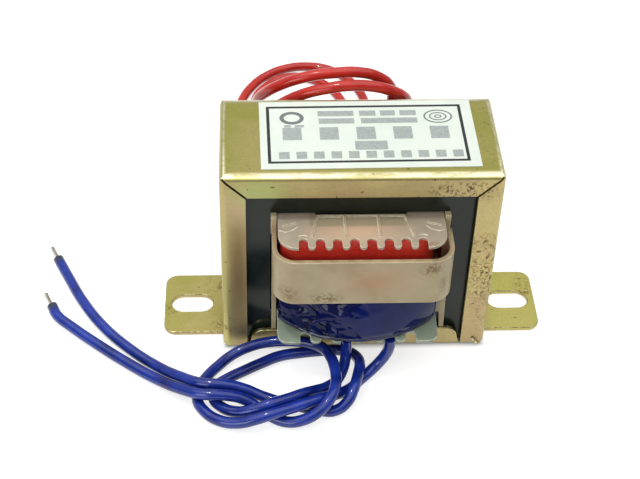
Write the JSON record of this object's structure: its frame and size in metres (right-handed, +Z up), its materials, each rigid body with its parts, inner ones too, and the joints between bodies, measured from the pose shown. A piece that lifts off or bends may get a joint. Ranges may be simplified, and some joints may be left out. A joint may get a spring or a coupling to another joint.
{
  "type": "laminated chassis transformer",
  "caption": "Laminated EI transformer in a pressed cover with slotted mounting feet, taped windings in a moulded shroud and flying leads.",
  "frame": {"origin": "middle of the underside of the base strap, under the middle of the core", "axes": "+X along the mounting feet to the right, +Y to the back where the red leads leave, +Z up"},
  "size_m": [0.1144, 0.133, 0.0525],
  "materials": {
    "cover": "yellow zinc plated pressed steel, scuffed, with rust specks",
    "base_strap": "yellow zinc plated pressed steel",
    "e_laminations_a": "dark varnished silicon steel sheet",
    "e_laminations_b": "dark varnished silicon steel sheet",
    "i_laminations_a": "dark varnished silicon steel sheet",
    "i_laminations_b": "dark varnished silicon steel sheet",
    "shroud": "natural nylon, slightly translucent, with brown flux stains",
    "primary_bobbin": "natural nylon, slightly translucent",
    "secondary_bobbin": "natural nylon, slightly translucent",
    "primary_winding": "enamelled copper wire",
    "primary_tape": "red polyester film tape",
    "secondary_winding": "enamelled copper wire",
    "secondary_tape": "blue polyester film tape, glossy and creased",
    "label": "printed white label",
    "blue_lead_1": "blue PVC insulation",
    "blue_lead_2": "blue PVC insulation",
    "red_lead_1": "red PVC insulation",
    "red_lead_2": "red PVC insulation",
    "blue_conductor_1": "tinned copper strands",
    "blue_conductor_2": "tinned copper strands",
    "red_conductor_1": "tinned copper strands",
    "red_conductor_2": "tinned copper strands"
  },
  "bodies": {
    "root": {"cover": "cover", "base_strap": "base_strap", "e_laminations_a": "e_laminations_a", "e_laminations_b": "e_laminations_b", "i_laminations_a": "i_laminations_a", "i_laminations_b": "i_laminations_b", "shroud": "shroud", "primary_bobbin": "primary_bobbin", "secondary_bobbin": "secondary_bobbin", "primary_winding": "primary_winding", "primary_tape": "primary_tape", "secondary_winding": "secondary_winding", "secondary_tape": "secondary_tape", "label": "label", "blue_lead_1": "blue_lead_1", "blue_lead_2": "blue_lead_2", "red_lead_1": "red_lead_1", "red_lead_2": "red_lead_2", "blue_conductor_1": "blue_conductor_1", "blue_conductor_2": "blue_conductor_2", "red_conductor_1": "red_conductor_1", "red_conductor_2": "red_conductor_2"}
  },
  "joints": []
}
